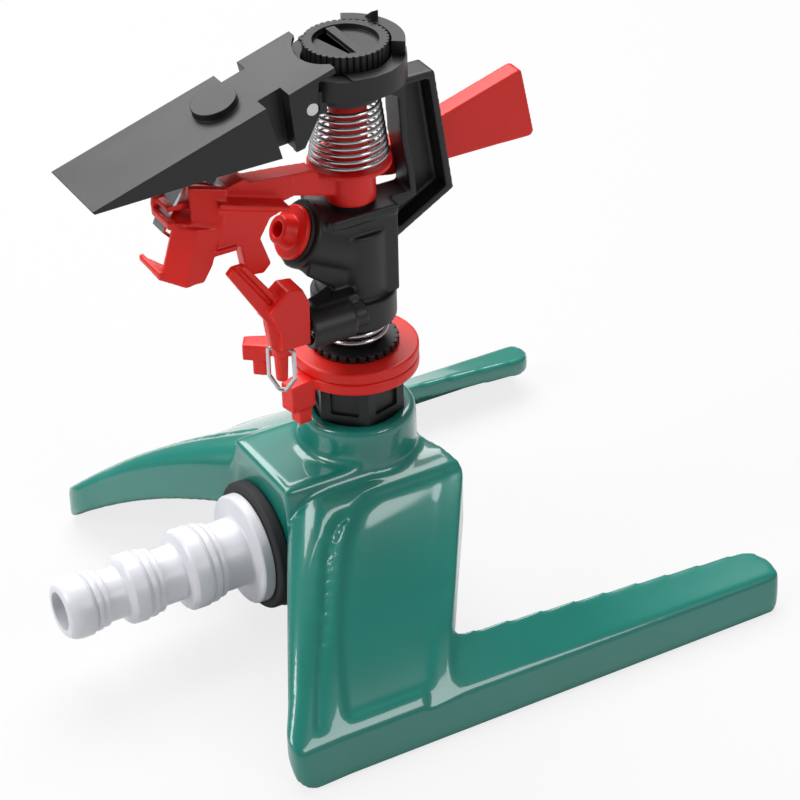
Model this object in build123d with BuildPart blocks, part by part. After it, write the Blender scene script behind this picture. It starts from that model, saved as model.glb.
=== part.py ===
from build123d import *
import os
from math import cos, pi, radians, sin

# Part-circle impulse sprinkler on a cast two-runner base.
# Millimetres. The spindle stands on the origin, ground at z = 0, hose tail toward -X,
# runners toward +X.

os.makedirs("parts", exist_ok=True)

# Clearances
slip = 0.1            # turning and sliding fits, per side
seat = 0.05           # pieces that stand face to face
free = 0.4            # parts that pass each other without touching

# Base casting
wall = 2.6            # casting wall
foot_y = 60.4         # outer lower edge of a runner
ridge_y = 57.7        # outer upper edge of a runner
ridge_z = 9.0
arch_root = (12.6, 39.0)      # leg arch in the YZ plane, where it leaves the box
arch_mid = (36.0, 28.0)
skirt_root = (12.6, 22.6)     # lower edge of the leg skirt
skirt_mid = (36.0, 14.6)
leg_back_x = -51.5    # ground corner of the swept leg edge
leg_front_x = 17.2    # widest point of the leg at the shoulder
leg_front_y = 17.6
runner_inner_y = 47.8
runner_end_x = 77.6
runner_end_z = 10.2   # inner edge of the runner at its free end
runner_lip = 5.0      # depth of the inner edge below the runner's top
runner_corner = 6.0
box_back_x = -25.2
box_front_x = 12.3
box_half = 12.6       # half width of the box at its top
box_foot_half = 15.3  # and where it meets the round inlet boss
box_top = 41.4
collar_r = 13.2
collar_top = 49.8
inlet_z = 20.4        # height of the hose axis
inlet_boss_r = 15.5
waterway_r = 7.0
panel_drop = 1.1      # leg panel below the rim bead
groove_drop = 1.3

# Hose tail, threaded into the inlet
tail_end_x = -75.5
tail_bore_r = 4.4
small_barb_r = 7.2
small_barb = 4.4
large_barb_r = 9.55
large_barb = 6.0
tail_flange_r = 12.7
tail_flange = 2.9
gasket_r = 14.9
gasket = 3.2
tail_thread_r = 10.2
tail_thread_length = 10.0

# Riser: hex nipple screwed into the collar
nipple_thread_r = 9.4
nipple_thread_length = 9.0
hex_height = 10.2
hex_corner_r = 10.9
hex_turn = 15.0
ring_height = 2.75
ring_r = 14.2
journal_r = 8.6
nipple_bore_r = 6.1
flange_r = 9.8
flange_height = 1.6
flange_teeth = 28

# Sprinkler body
bearing_z = 73.2      # underside of the rotating bearing ring
bearing_r = 9.5
bearing_height = 6.8
barrel_r = 8.0
deck_z = 101.4        # platform that the hammer stands on
spindle_r = 5.4
spindle_bore_r = 4.2
spindle_foot = 35.6
spindle_top = 79.0
nozzle_rise = 27.0    # degrees
nozzle_origin_z = 90.4
nozzle_face = 14.6    # from the spindle axis along the nozzle axis
nozzle_tube_r = 7.6
nozzle_disc_r = 6.05
nozzle_thread_r = 4.9
nozzle_tip = 20.2
jet_hole_r = 1.8
bridge_half = 3.3     # half thickness of the bridge frame
bridge_pocket = 4.4
bridge_top = 128.6
bridge_under = 124.4
bridge_boss_r = 7.4
bridge_boss_under = 126.9

# Hammer
pin_r = 1.6           # fulcrum pin
pin_foot = 96.4
washer_height = 0.9
hub_r = 5.6
hub_height = 9.4
sleeve_r = 4.1
sleeve_height = 14.3
counter_near = 3.9    # counterweight blade, between these two Y
counter_far = 8.4
counter_heel = 105.0  # the blade's underside near the hub, which passes over the nozzle tube
arm_half = 2.3

# Arm spring
spring_wire = 0.8
spring_turns = 9.5
spring_top_r = 6.7
spring_foot_r = 8.5

# Crown, range knob and deflector
crown_r = 12.9
crown_z = 131.0
crown_rim = 136.4
knob_r = 9.2
knob_top = 139.8
knob_foot = 132.6
knob_teeth = 40
deflector_half = 10.0
deflector_wall = 1.6
deflector_tip = (-64.0, 122.1)
deflector_heel = (-8.0, 139.4)
deflector_under = 121.9
hinge_x = -13.4
hinge_z = 131.2
hinge_r = 1.4

# Trip mechanism
trip_y = -9.9         # axis of the trip barrel, parallel to X
trip_z = 79.4
trip_barrel_r = 4.5
trip_shaft_r = 1.3
trip_wire = 1.0
trip_barrel_x = -17.0


def save(part, name):
    """Label one finished piece and write it as its own STEP file."""
    part.label = name
    export_step(part, f"parts/{name}.step")


def washer(outer, inner, height, z):
    """A plain ring on the spindle axis."""
    with BuildPart() as piece:
        with BuildSketch(Plane.XY.offset(z)):
            Circle(outer)
            Circle(inner, mode=Mode.SUBTRACT)
        extrude(amount=height)
    return piece.part


def slab(points, near_y, far_y):
    """A flat piece cut to an XZ outline, standing between two Y positions."""
    with BuildPart() as piece:
        with BuildSketch(Plane.XZ.offset(-far_y)):
            with BuildLine():
                Polyline(*points, close=True)
            make_face()
        extrude(amount=far_y - near_y)
    return piece.part


def post(plane, radius, height):
    """A round bar standing on a plane's origin."""
    with BuildPart() as piece:
        with BuildSketch(plane):
            Circle(radius)
        extrude(amount=height)
    return piece.part


def coil(foot_r, top_r, foot_z, top_z, turns, wire):
    """A wire coil on the spindle axis, wound in short straight runs, tapering if the radii differ."""
    runs = round(turns * 12)
    points = []
    for step in range(runs + 1):
        part_way = step / runs
        radius = foot_r + (top_r - foot_r) * part_way
        turn = 2 * pi * turns * part_way
        points.append((radius * cos(turn), radius * sin(turn), foot_z + (top_z - foot_z) * part_way))
    with BuildPart() as piece:
        with BuildLine() as path:
            Polyline(*points)
        with BuildSketch(Plane(origin=path.line @ 0, z_dir=path.line % 0)):
            RegularPolygon(radius=wire / 2, side_count=6)
        sweep(transition=Transition.RIGHT)
    return piece.part


# Levels along the spindle, bottom to top
hex_z = collar_top + seat
nipple_foot_z = hex_z - nipple_thread_length
ring_low_z = hex_z + hex_height + seat
ring_high_z = ring_low_z + ring_height + seat
flange_z = ring_high_z + ring_height + seat
dust_spring_z = flange_z + flange_height
hub_z = deck_z + seat + washer_height + seat
sleeve_z = hub_z + hub_height

# Directions of the jet and of the deflector's sloping top
jet_c = cos(radians(nozzle_rise))
jet_s = sin(radians(nozzle_rise))
jet = Plane(origin=(0, 0, nozzle_origin_z), x_dir=(0, 1, 0), z_dir=(-jet_c, 0, jet_s))
slope = (deflector_heel[1] - deflector_tip[1]) / (deflector_heel[0] - deflector_tip[0])


def roof_z(x):
    """Height of the deflector's top surface at x."""
    return deflector_tip[1] + slope * (x - deflector_tip[0])


# Base casting: one leg and its runner, made on the +Y side and mirrored.
# The leg is an arch across the machine, trimmed in plan to its swept edges.
def arch_layer(depth, inner_y):
    """Everything above a surface lying a given depth under the leg's outer arch."""
    with BuildPart() as piece:
        with BuildSketch(Plane.YZ.offset(leg_back_x)):
            with BuildLine():
                ThreePointArc(
                    (inner_y, arch_root[1] - depth),
                    (arch_mid[0], arch_mid[1] - depth),
                    (ridge_y, ridge_z - depth),
                )
                Line((ridge_y, ridge_z - depth), (ridge_y, box_top + 9))
                Line((ridge_y, box_top + 9), (inner_y, box_top + 9))
                Line((inner_y, box_top + 9), (inner_y, arch_root[1] - depth))
            make_face()
        extrude(amount=leg_front_x - leg_back_x)
    return piece.part


with BuildPart() as leg:
    with BuildSketch(Plane.YZ.offset(leg_back_x)):
        with BuildLine():
            ThreePointArc(arch_root, arch_mid, (ridge_y, ridge_z))
            Line((ridge_y, ridge_z), (foot_y, 0))
            Line((foot_y, 0), (foot_y - wall, 0))
            ThreePointArc((foot_y - wall, 0), skirt_mid, skirt_root)
            Line(skirt_root, (0, skirt_root[1]))
            Line((0, skirt_root[1]), (0, arch_root[1]))
            Line((0, arch_root[1]), arch_root)
        make_face()
    extrude(amount=leg_front_x - leg_back_x)
    with BuildSketch() as leg_plan:
        with BuildLine():
            Polyline(
                (box_back_x, 0),
                (box_back_x, box_half),
                (leg_back_x, foot_y),
                (-12.0, foot_y),
                (-3.7, runner_inner_y),
                (leg_front_x, leg_front_y),
                (box_front_x + 2.9, 11.0),
                (box_front_x, 0),
                close=True,
            )
        make_face()
        fillet(leg_plan.vertices().sort_by(Axis.X)[0], radius=runner_corner)
        fillet(leg_plan.vertices().sort_by(Axis.X)[-1], radius=4)
    extrude(amount=box_top, mode=Mode.INTERSECT)
    # hollow under the arch, open to the ground
    with BuildSketch(Plane.YZ.offset(leg_back_x)):
        with BuildLine():
            ThreePointArc(
                (arch_root[0], arch_root[1] - wall),
                (arch_mid[0] - 1.2, arch_mid[1] - wall),
                (ridge_y - wall, ridge_z - 1.2),
            )
            Line((ridge_y - wall, ridge_z - 1.2), (foot_y - wall, -1))
            Line((foot_y - wall, -1), (arch_root[0], -1))
            Line((arch_root[0], -1), (arch_root[0], arch_root[1] - wall))
        make_face()
    hollow = extrude(amount=leg_front_x - leg_back_x, mode=Mode.PRIVATE)
    with BuildSketch():
        add(offset(leg_plan.sketch, amount=-wall, mode=Mode.PRIVATE))
    core = extrude(amount=box_top, mode=Mode.PRIVATE)
    add(hollow & core, mode=Mode.SUBTRACT)

# Sunk panel and the two grooves that run beside it, in plan
with BuildPart() as panel:
    with BuildSketch():
        with BuildLine():
            Spline((-3.0, 17.6), (-8.5, 18.3), (-20.3, 29.4), (-30.1, 44.8), (-34.6, 55.3))
            Line((-34.6, 55.3), (-13.0, 55.3))
            Line((-13.0, 55.3), (13.5, 17.6))
            Line((13.5, 17.6), (-3.0, 17.6))
        make_face()
    extrude(amount=box_top)
    add(arch_layer(panel_drop, arch_root[0]), mode=Mode.INTERSECT)
with BuildPart() as grooves:
    with BuildSketch():
        with BuildLine():
            Spline((-13.2, 20.0), (-18.5, 22.7), (-28.2, 35.4), (-36.7, 48.1), (-41.1, 56.0))
        trace(line_width=1.5)
        with BuildLine():
            Spline((-19.1, 26.0), (-23.5, 30.7), (-27.0, 35.9), (-31.0, 41.6))
        trace(line_width=0.9)
    extrude(amount=box_top)
    add(arch_layer(groove_drop, arch_root[0]), mode=Mode.INTERSECT)


# Runner: its inner edge falls from the arch to the low free end.
def runner_solid(start_x, inset):
    """Loft between the runner's root and free-end sections, inset for the hollow."""
    low = -1 if inset else 0
    with BuildPart() as piece:
        for x, inner_z in ((start_x, 18.4), (runner_end_x, runner_end_z)):
            with BuildSketch(Plane.YZ.offset(x)):
                with BuildLine():
                    Polyline(
                        (foot_y - inset, low),
                        (ridge_y - inset, ridge_z - inset / 2),
                        (runner_inner_y + inset, inner_z - inset),
                        (runner_inner_y + inset, low),
                        close=True,
                    )
                make_face()
        loft(ruled=True)
    return piece.part


with BuildPart() as runner:
    add(runner_solid(-15.0, 0))
    add(runner_solid(-12.5, wall), mode=Mode.SUBTRACT)
    # the inner wall stops above the ground as a shallow lip
    lip_cut = [
        (-16.0, -1.0),
        (runner_end_x, -1.0),
        (runner_end_x, runner_end_z - runner_lip),
        (-16.0, 18.4 - runner_lip),
    ]
    add(slab(lip_cut, runner_inner_y - 1, runner_inner_y + wall + 0.1), mode=Mode.SUBTRACT)
    # rounded free end, in plan
    with BuildSketch() as end_plan:
        with Locations((runner_end_x - 60.0, (foot_y + runner_inner_y) / 2)):
            Rectangle(120.0, foot_y - runner_inner_y)
        fillet(end_plan.vertices().group_by(Axis.X)[-1], radius=5.9)
    extrude(amount=box_top, mode=Mode.INTERSECT)

with BuildPart() as base_casting:
    add(leg.part)
    add(runner.part)
    add(panel.part, mode=Mode.SUBTRACT)
    add(grooves.part, mode=Mode.SUBTRACT)
    mirror(about=Plane.XZ)
    # inlet box, wider towards the round inlet boss
    with BuildSketch(Plane.YZ.offset(box_back_x)):
        with BuildLine():
            Polyline(
                (box_half, box_top),
                (box_foot_half, inlet_z),
                (-box_foot_half, inlet_z),
                (-box_half, box_top),
                close=True,
            )
        make_face()
    extrude(amount=-box_back_x)
    with BuildSketch(Plane.YZ.offset(box_back_x)):
        with Locations((0, inlet_z)):
            Circle(inlet_boss_r)
    extrude(amount=-box_back_x)
    with BuildSketch(Plane.XY.offset(inlet_z)):
        Circle(inlet_boss_r - 0.3)
    extrude(amount=1.5 - inlet_boss_r, taper=12)
    with BuildSketch(Plane.XY.offset(inlet_z)):
        Circle(collar_r + 0.4)
    extrude(amount=collar_top - inlet_z, taper=0.8)
    # seat for the gasket, threaded inlet, waterway, riser bore and its threaded mouth
    inlet_face = Plane(origin=(box_back_x, 0, inlet_z), x_dir=(0, -1, 0), z_dir=(-1, 0, 0))
    add(post(inlet_face, gasket_r + free, 8.0), mode=Mode.SUBTRACT)
    with BuildSketch(Plane.YZ.offset(box_back_x)):
        with Locations((0, inlet_z)):
            Circle(tail_thread_r + slip)
    extrude(amount=tail_thread_length + 1, mode=Mode.SUBTRACT)
    with BuildSketch(Plane.YZ.offset(box_back_x)):
        with Locations((0, inlet_z)):
            Circle(waterway_r)
    extrude(amount=-box_back_x, mode=Mode.SUBTRACT)
    with BuildSketch(Plane.XY.offset(collar_top)):
        Circle(nipple_thread_r + slip)
    extrude(amount=-nipple_thread_length - 0.2, mode=Mode.SUBTRACT)
    with BuildSketch(Plane.XY.offset(collar_top)):
        Circle(spindle_r + 3.2)
    extrude(amount=inlet_z - collar_top - waterway_r - 0.8, mode=Mode.SUBTRACT)
    top_rings = base_casting.edges().filter_by(GeomType.CIRCLE).group_by(Axis.Z)[-1]
    fillet(top_rings.sort_by(SortBy.RADIUS)[-1], radius=0.8)
save(base_casting.part, "base_casting")


# Hose tail: stepped barbs outside, flange and thread at the inlet
gasket_x = box_back_x - seat - gasket
tail_flange_x = gasket_x - seat - tail_flange
tail_profile = [
    (tail_end_x, 5.5),
    (tail_end_x + 0.7, 6.3),
    (tail_end_x + 2.3, small_barb_r),
    (tail_end_x + 2.3 + small_barb, small_barb_r),
    (tail_end_x + 7.5, 5.9),
    (tail_end_x + 13.8, 5.9),
    (tail_end_x + 14.5, 7.4),
    (tail_end_x + 18.2, 8.1),
    (tail_end_x + 20.5, 7.9),
    (tail_end_x + 22.7, 7.2),
    (tail_end_x + 22.8, 6.5),
    (tail_end_x + 29.1, 6.5),
    (tail_end_x + 29.2, large_barb_r),
    (tail_end_x + 29.2 + large_barb, large_barb_r),
    (tail_end_x + 38.1, 8.0),
    (tail_flange_x, 8.0),
    (tail_flange_x, tail_flange_r),
    (tail_flange_x + tail_flange, tail_flange_r),
    (tail_flange_x + tail_flange, tail_thread_r),
    (box_back_x + tail_thread_length, tail_thread_r),
]
with BuildPart() as hose_tail:
    with BuildSketch(Plane(origin=(0, 0, inlet_z), x_dir=(1, 0, 0), z_dir=(0, -1, 0))):
        with BuildLine():
            Polyline(
                (tail_end_x, tail_bore_r),
                *tail_profile,
                (box_back_x + tail_thread_length, tail_bore_r),
                close=True,
            )
        make_face()
    revolve(axis=Axis((0, 0, inlet_z), (1, 0, 0)))
save(hose_tail.part, "hose_tail")

with BuildPart() as inlet_gasket:
    with BuildSketch(Plane.YZ.offset(gasket_x)):
        with Locations((0, inlet_z)):
            Circle(gasket_r)
            Circle(tail_thread_r + slip, mode=Mode.SUBTRACT)
    extrude(amount=gasket)
    chamfer(inlet_gasket.edges().group_by(SortBy.LENGTH)[-1], length=0.5)
save(inlet_gasket.part, "inlet_gasket")


# Hex nipple: thread into the collar, wrench hex, smooth journal for the trip rings
with BuildPart() as hex_nipple:
    with BuildSketch(Plane.XY.offset(nipple_foot_z)):
        Circle(nipple_thread_r)
    extrude(amount=nipple_thread_length)
    with BuildSketch(Plane.XY.offset(hex_z)):
        RegularPolygon(radius=hex_corner_r, side_count=6, rotation=hex_turn)
    extrude(amount=hex_height)
    with BuildSketch(Plane.XY.offset(hex_z + hex_height)):
        Circle(journal_r)
    extrude(amount=flange_z - seat - hex_z - hex_height)
    for face in range(6):
        turn = radians(hex_turn + 30 + 60 * face)
        flat = hex_corner_r * cos(radians(30))
        side = Plane(
            origin=(flat * cos(turn), flat * sin(turn), hex_z + hex_height / 2),
            x_dir=(-sin(turn), cos(turn), 0),
            z_dir=(cos(turn), sin(turn), 0),
        )
        with BuildSketch(side):
            RectangleRounded(6.6, 6.4, 0.6)
        extrude(amount=-0.8, mode=Mode.SUBTRACT)
    with BuildSketch(Plane.XY.offset(nipple_foot_z)):
        Circle(nipple_bore_r)
    extrude(amount=flange_z - nipple_foot_z, mode=Mode.SUBTRACT)
save(hex_nipple.part, "hex_nipple")


# Trip rings: friction rings on the journal, each with a finger hanging outside
def trip_ring(z, turn, finger_in, finger_out, finger_foot, width):
    """A flat ring with one bent finger, turned to its set angle."""
    with BuildPart() as piece:
        with BuildSketch(Plane.XY.offset(z)):
            Circle(ring_r)
        extrude(amount=ring_height)
        with BuildSketch(Plane.XY.offset(z)):
            with Locations((finger_out / 2, 0)):
                Rectangle(finger_out, width)
        extrude(amount=ring_height - free)
        with BuildSketch(Plane.XY.offset(z)):
            with Locations(((finger_in + finger_out) / 2, 0)):
                Rectangle(finger_out - finger_in, width)
        extrude(amount=finger_foot - z)
        with BuildSketch(Plane.XY.offset(z)):
            Circle(journal_r + slip)
        extrude(amount=ring_height, mode=Mode.SUBTRACT)
        fillet(piece.edges().group_by(Axis.X)[-1].filter_by(Axis.Z), radius=1.2)
    return piece.part.rotate(Axis.Z, turn)


save(trip_ring(ring_low_z, 192.0, 16.6, 20.0, 52.0, 5.2), "trip_ring_lower")
save(trip_ring(ring_high_z, 147.5, 21.6, 25.0, 57.5, 5.2), "trip_ring_upper")


# Serrated retaining flange on top of the journal
with BuildPart() as retaining_flange:
    with BuildSketch(Plane.XY.offset(flange_z)):
        Circle(flange_r)
        with PolarLocations(flange_r, flange_teeth):
            RegularPolygon(radius=0.8, side_count=3, rotation=180, mode=Mode.SUBTRACT)
        Circle(nipple_bore_r, mode=Mode.SUBTRACT)
    extrude(amount=flange_height)
save(retaining_flange.part, "retaining_flange")

save(
    coil(7.0, 7.0, dust_spring_z + 0.75, bearing_z - 0.75, 2.4, 1.3),
    "dust_spring",
)


# Spindle: foot flange held under the nipple, tube up into the body
with BuildPart() as spindle_tube:
    with BuildSketch(Plane.XY.offset(spindle_foot)):
        Circle(7.8)
    extrude(amount=1.8)
    with BuildSketch(Plane.XY.offset(spindle_foot)):
        Circle(spindle_r)
    extrude(amount=spindle_top - spindle_foot)
    with BuildSketch(Plane.XY.offset(spindle_foot)):
        Circle(spindle_bore_r)
    extrude(amount=spindle_top - spindle_foot, mode=Mode.SUBTRACT)
save(spindle_tube.part, "spindle_tube")
save(washer(8.2, spindle_r + slip, 1.7, spindle_foot + 1.8 + seat), "seal_washer")
save(washer(8.0, spindle_r + slip, 1.5, spindle_foot + 3.6 + seat), "friction_washer")


# Sprinkler body: bearing ring, barrel, head block, bridge and trip barrel
with BuildPart() as sprinkler_body:
    with BuildSketch(Plane.XY.offset(bearing_z)):
        Circle(bearing_r)
    extrude(amount=bearing_height)
    with BuildSketch(Plane.XY.offset(bearing_z + bearing_height)):
        Circle(barrel_r)
    extrude(amount=16)
    add(slab(
        [(-8.9, 101.4), (-3.9, 99.2), (8.0, 99.2), (8.0, 80.0), (-2.0, 80.0), (-14.7, 90.1)],
        -6.5,
        6.5,
    ))
    add(post(jet, nozzle_tube_r, nozzle_face))
    add(slab([(-8.0, 99.2), (-8.0, deck_z), (8.0, deck_z), (8.0, 99.2)], -7.0, 8.0))
    # bridge: leg behind the spindle, arm forward to the boss over the hammer
    add(slab(
        [
            (0, 130.6), (8.0, 130.6), (12.4, bridge_top), (19.4, bridge_top), (23.8, 99.0),
            (5.7, 88.7), (0, 92.0), (0, deck_z), (13.0, deck_z), (12.4, 106.5),
            (11.1, 114.2), (10.6, bridge_under), (7.0, bridge_boss_under), (0, bridge_boss_under),
        ],
        -bridge_half,
        bridge_half,
    ))
    add(post(Plane.XY.offset(bridge_boss_under), bridge_boss_r, crown_z - bridge_boss_under))
    add(slab(
        [
            (12.4, 122.6), (12.8, 114.3), (14.1, 106.7), (14.7, 99.8), (9.7, 98.0),
            (9.7, 92.9), (21.9, 99.9), (18.0, 126.9), (12.4, 126.9),
        ],
        -bridge_half - 0.1,
        bridge_pocket - bridge_half,
    ), mode=Mode.SUBTRACT)
    # trip barrel and the web that carries it
    with BuildSketch(Plane.YZ.offset(trip_barrel_x)):
        with Locations((trip_y, trip_z)):
            Circle(trip_barrel_r)
    extrude(amount=10.5)
    with BuildSketch(Plane.YZ.offset(trip_barrel_x + 10.5)):
        with Locations((trip_y, trip_z)):
            Circle(3.0)
    extrude(amount=3.5)
    with BuildSketch(Plane.XY.offset(76.4)):
        with BuildLine():
            Polyline(
                (-14.5, -6.0), (-14.5, -10.0), (-4.0, -10.0), (-4.0, -4.0), (-7.5, -3.0), close=True
            )
        make_face()
    extrude(amount=8.0)
    # bores: spindle, waterway, jet, nozzle thread, fulcrum pin, trip shaft
    with BuildSketch(Plane.XY.offset(bearing_z)):
        Circle(spindle_r + seat)
    extrude(amount=spindle_top + 0.4 - bearing_z, mode=Mode.SUBTRACT)
    with BuildSketch(Plane.XY.offset(bearing_z)):
        Circle(spindle_bore_r)
    extrude(amount=nozzle_origin_z - bearing_z, mode=Mode.SUBTRACT)
    add(post(jet, spindle_bore_r, nozzle_face + 1), mode=Mode.SUBTRACT)
    add(post(jet.offset(6.4), nozzle_thread_r + slip, 12), mode=Mode.SUBTRACT)
    add(post(Plane.XY.offset(pin_foot), pin_r + seat, 40), mode=Mode.SUBTRACT)
    trip_axis = Plane(origin=(trip_barrel_x - 1, trip_y, trip_z), x_dir=(0, 1, 0), z_dir=(1, 0, 0))
    add(post(trip_axis, trip_shaft_r + seat, 12.5), mode=Mode.SUBTRACT)
    add(post(trip_axis, 3.4, 6.0), mode=Mode.SUBTRACT)
save(sprinkler_body.part, "sprinkler_body")

save(post(Plane.XY.offset(pin_foot + 0.2), pin_r, crown_z - pin_foot - 0.3), "fulcrum_pin")
save(washer(3.7, pin_r + slip, washer_height, deck_z + seat), "hammer_washer")


# Nozzle set along the jet axis: seal, screwed nozzle and flow straightener
seal_t = nozzle_face + seat
disc_t = seal_t + 0.8 + seat
with BuildPart() as nozzle_seal:
    with BuildSketch(jet.offset(seal_t)):
        Circle(nozzle_disc_r + 0.2)
        Circle(nozzle_thread_r + slip, mode=Mode.SUBTRACT)
    extrude(amount=0.8)
save(nozzle_seal.part, "nozzle_seal")
with BuildPart() as nozzle:
    add(post(jet.offset(disc_t), nozzle_disc_r, 1.4))
    add(post(jet.offset(nozzle_face - 4.0), nozzle_thread_r, disc_t + 0.5 - nozzle_face + 4.0))
    with BuildSketch(jet.offset(disc_t + 1.4)):
        Circle(3.6)
    extrude(amount=nozzle_tip - disc_t - 1.4, taper=8)
    with BuildSketch(jet.offset(nozzle_face - 4.0)):
        Circle(nozzle_thread_r - 1.0)
    extrude(amount=4.0, taper=20, mode=Mode.SUBTRACT)
    add(post(jet.offset(nozzle_face - 4.0), jet_hole_r, 14), mode=Mode.SUBTRACT)
save(nozzle.part, "nozzle")
with BuildPart() as flow_straightener:
    with BuildSketch(jet.offset(6.6)):
        Circle(nozzle_thread_r - slip)
        Circle(nozzle_thread_r - 1.0, mode=Mode.SUBTRACT)
        Rectangle(2 * nozzle_thread_r - 1.0, 0.6)
        Rectangle(0.6, 2 * nozzle_thread_r - 1.0)
    extrude(amount=nozzle_face - 4.2 - 6.6)
save(flow_straightener.part, "flow_straightener")


# Steel splash strip, bent over the front of the hammer
strip_path = [
    (-28.5, 113.2), (-34.4, 116.1), (-38.9, 117.9), (-43.2, 111.6), (-44.9, 107.8), (-43.2, 105.9),
]


def strip(path, thick, near_y, far_y):
    """A bent strip following an XZ path."""
    with BuildPart() as piece:
        with BuildSketch(Plane.XZ.offset(-far_y)):
            with BuildLine():
                Polyline(*path)
            trace(line_width=thick)
        extrude(amount=far_y - near_y)
    return piece.part


save(strip(strip_path, 0.7, -1.6, 3.0), "splash_strip")
strip_slot = strip([(-28.2, 113.1), *strip_path[1:-1], (-43.0, 105.7)], 0.8, -1.65, 3.05)


# Hammer's spoon: a curved wall in plan, cut to the spoon's outline
with BuildPart() as spoon:
    with BuildSketch(Plane.XY.offset(94.0)):
        with BuildLine():
            ThreePointArc((-34.5, -5.0), (-45.5, -4.2), (-49.6, 3.6))
        trace(line_width=1.8)
    extrude(amount=24.0)
    spoon_outline = [
        (-45.8, 113.5), (-30.7, 114.8), (-34.0, 107.2), (-37.6, 98.0), (-39.4, 94.9),
        (-48.6, 97.4), (-51.7, 102.8), (-47.5, 105.5),
    ]
    add(slab(spoon_outline, -8.0, 6.0), mode=Mode.INTERSECT)

# Hammer: hub and sleeve on the pin, arm over the jet, block beside it, spoon, counterweight
arm_outline = [
    (0, 104.2), (-3.7, 104.5), (-15.6, 108.0), (-18.5, 107.2), (-28.5, 110.5), (-30.5, 113.2),
    (-26.2, 114.5), (-9.0, 112.3), (0, 111.4),
]
block_outline = [(-33.2, 113.9), (-18.0, 107.0), (-22.2, 93.7), (-37.6, 98.0)]
bar_outline = [
    (-28.5, 110.5), (-36.0, 112.2), (-44.3, 112.0), (-44.3, 113.4), (-36.5, 113.9), (-28.5, 113.6),
]
scoop_outline = [
    (-47.0, 114.7), (-40.1, 112.8), (-39.1, 116.6), (-37.9, 117.2), (-30.7, 114.8), (-31.0, 111.5),
    (-44.5, 110.0),
]
with BuildPart() as hammer_arm:
    add(post(Plane.XY.offset(hub_z), hub_r, hub_height))
    add(slab(arm_outline, -arm_half - 0.2, arm_half))
    add(slab(block_outline, -6.0, -2.4))
    add(slab(bar_outline, -4.6, 4.6))
    add(spoon.part)
    add(slab(scoop_outline, -4.6, -3.0))
    add(slab([(-44.8, 113.5), (-41.7, 109.2), (-36.7, 114.2)], 3.2, 4.6))
    # counterweight blade, beside the bridge leg
    with BuildSketch(Plane.XZ.offset(-counter_far)):
        with BuildLine():
            Polyline(
                (-3.0, counter_heel), (12.5, 101.9), (48.0, 101.6),
                (48.8, 102.6), (45.6, 118.3), (44.6, 118.6), (25.7, 113.0), (14.9, 109.7),
                (8.0, 109.0), (-3.0, 109.0), close=True,
            )
        make_face()
    extrude(amount=counter_far - counter_near)
    # spring seat and sleeve, then everything clear of the spring's lowest turn
    add(post(Plane.XY.offset(sleeve_z), 9.8, 8), mode=Mode.SUBTRACT)
    add(post(Plane.XY.offset(sleeve_z - 1.2), 9.2, 1.2))
    add(post(Plane.XY.offset(sleeve_z), sleeve_r, sleeve_height))
    add(post(Plane.XY.offset(hub_z - 1), pin_r + slip, 40), mode=Mode.SUBTRACT)
    # notch that passes over the trip lever's head
    with BuildSketch(Plane.XY.offset(90)):
        Circle(38.4)
        Circle(30.3, mode=Mode.SUBTRACT)
    extrude(amount=101.4 - 90, mode=Mode.SUBTRACT)
    add(strip_slot, mode=Mode.SUBTRACT)
save(hammer_arm.part, "hammer_arm")

save(
    coil(
        spring_foot_r,
        spring_top_r,
        sleeve_z + spring_wire / 2 + seat,
        bridge_boss_under - spring_wire / 2 - seat,
        spring_turns,
        spring_wire,
    ),
    "arm_spring",
)


# Crown: faceted cup on the bridge boss, with the deflector's hinge lug
with BuildPart() as crown_ring:
    with BuildSketch(Plane.XY.offset(crown_z + seat)):
        RegularPolygon(radius=crown_r, side_count=20)
    extrude(amount=crown_rim - crown_z - seat)
    with BuildSketch(Plane.XY.offset(crown_rim)):
        Circle(crown_r - 0.4)
        Circle(knob_r + free, mode=Mode.SUBTRACT)
        with BuildLine():
            Polyline((0, 0), (16.0, -12.0), (22.0, 4.0), (8.0, 18.0), close=True)
        make_face(mode=Mode.INTERSECT)
    extrude(amount=3.2)
    add(slab([(-15.9, 129.0), (-15.9, 133.4), (-9.0, 133.6), (-9.0, 128.4), (-15.0, 128.4)], -7.9, 7.9))
    with BuildSketch(Plane.YZ.offset(8.7)):
        with BuildLine():
            Polyline((4.4, 138.0), (4.3, 141.9), (8.7, 138.6), (8.7, 138.0), close=True)
        make_face()
    extrude(amount=1.6)
    # low rim where the deflector's plate passes over
    rim_cut = [(-14.0, crown_rim - 0.5), (-14.0, 140.0), (-5.0, 140.0), (-5.0, crown_rim - 0.5)]
    add(slab(rim_cut, -14.0, 14.0), mode=Mode.SUBTRACT)
    add(post(Plane.XY.offset(knob_foot), knob_r + free, 10), mode=Mode.SUBTRACT)
    add(post(Plane.XY.offset(crown_z), 3.1, 4), mode=Mode.SUBTRACT)
    with BuildSketch(Plane.XZ.offset(-9.0)):
        with Locations((hinge_x, hinge_z)):
            Circle(hinge_r + slip)
    extrude(amount=18, mode=Mode.SUBTRACT)
save(crown_ring.part, "crown_ring")


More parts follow.
